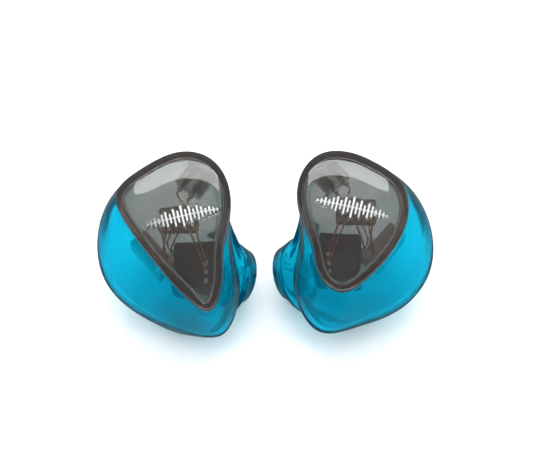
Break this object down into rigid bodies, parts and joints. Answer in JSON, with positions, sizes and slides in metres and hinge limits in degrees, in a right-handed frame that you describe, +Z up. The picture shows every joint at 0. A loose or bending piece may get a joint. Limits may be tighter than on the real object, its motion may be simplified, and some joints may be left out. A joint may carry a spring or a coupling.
{
  "type": "in-ear monitor pair",
  "caption": "Pair of custom-moulded in-ear monitors: see-through blue hollow shells, domed smoke faceplates, drivers and tubes inside, two-pin cable sockets.",
  "frame": {"origin": "middle of the pair's footprint, on the surface the earpieces lie on", "axes": "+X from the right earpiece to the left one, +Y away from the faceplates' narrow ends, +Z up"},
  "size_m": [0.0536, 0.029, 0.0233],
  "materials": {
    "blue_acrylic": "glossy see-through cyan blue",
    "smoke_acrylic": "glossy see-through smoke grey",
    "bond_line": "thin see-through red-brown cured line",
    "emblem_silver": "satin silver",
    "smoke_plastic": "see-through smoke grey, moulded",
    "gold_contact": "gold plated",
    "solder": "bright solder",
    "terminal_board": "black laminate",
    "circuit_board": "tan laminate",
    "capacitor_ceramic": "tan ceramic with tinned ends",
    "resistor_black": "black film on ceramic",
    "black_case": "satin black steel",
    "nickel_iron": "annealed nickel iron",
    "copper_wire": "enamelled copper",
    "diaphragm_film": "thin foil",
    "steel_case": "satin nickel steel",
    "clear_tube": "clear soft tube",
    "damper": "pale ferrule"
  },
  "bodies": {
    "right_motor": {"right_woofer_reed": "nickel_iron", "right_woofer_drive_pin": "nickel_iron", "right_woofer_diaphragm": "diaphragm_film"},
    "right_earpiece": {"right_capacitors": "capacitor_ceramic", "right_crossover_board": "circuit_board", "right_dampers": "damper", "right_driver_wires": "copper_wire", "right_emblem": "emblem_silver", "right_faceplate": "smoke_acrylic", "right_mid_driver": "steel_case", "right_mid_tube": "clear_tube", "right_resistors": "resistor_black", "right_seam_bond": "bond_line", "right_shell": "blue_acrylic", "right_socket_body": "smoke_plastic", "right_socket_contacts": "gold_contact", "right_socket_wires": "copper_wire", "right_solder_joints": "solder", "right_tweeter": "black_case", "right_tweeter_tube": "clear_tube", "right_woofer_case": "black_case", "right_woofer_coil": "copper_wire", "right_woofer_lid": "black_case", "right_woofer_magnets": "nickel_iron", "right_woofer_solder": "solder", "right_woofer_terminals": "terminal_board", "right_woofer_tube": "clear_tube", "right_woofer_wires": "copper_wire", "right_woofer_yoke": "nickel_iron"},
    "left_motor": {"left_woofer_reed": "nickel_iron", "left_woofer_drive_pin": "nickel_iron", "left_woofer_diaphragm": "diaphragm_film"},
    "left_earpiece": {"left_capacitors": "capacitor_ceramic", "left_crossover_board": "circuit_board", "left_dampers": "damper", "left_driver_wires": "copper_wire", "left_emblem": "emblem_silver", "left_faceplate": "smoke_acrylic", "left_mid_driver": "steel_case", "left_mid_tube": "clear_tube", "left_resistors": "resistor_black", "left_seam_bond": "bond_line", "left_shell": "blue_acrylic", "left_socket_body": "smoke_plastic", "left_socket_contacts": "gold_contact", "left_socket_wires": "copper_wire", "left_solder_joints": "solder", "left_tweeter": "black_case", "left_tweeter_tube": "clear_tube", "left_woofer_case": "black_case", "left_woofer_coil": "copper_wire", "left_woofer_lid": "black_case", "left_woofer_magnets": "nickel_iron", "left_woofer_solder": "solder", "left_woofer_terminals": "terminal_board", "left_woofer_tube": "clear_tube", "left_woofer_wires": "copper_wire", "left_woofer_yoke": "nickel_iron"}
  },
  "joints": [
    {"name": "left_earpiece_lift", "type": "slide", "parent": "right_earpiece", "child": "left_earpiece", "axis": [0, 0, 1], "range_m": [0, 0.05]},
    {"name": "right_motor_flex", "type": "hinge", "parent": "right_earpiece", "child": "right_motor", "pos_m": [-0.01068, -0.00767, 0.01184], "axis": [0.9981, -0.0137, 0.0595], "range_deg": [-0.5, 0.5]},
    {"name": "left_motor_flex", "type": "hinge", "parent": "left_earpiece", "child": "left_motor", "pos_m": [0.01137, -0.00627, 0.01218], "axis": [-0.9981, -0.0137, 0.0595], "range_deg": [-0.5, 0.5]}
  ]
}
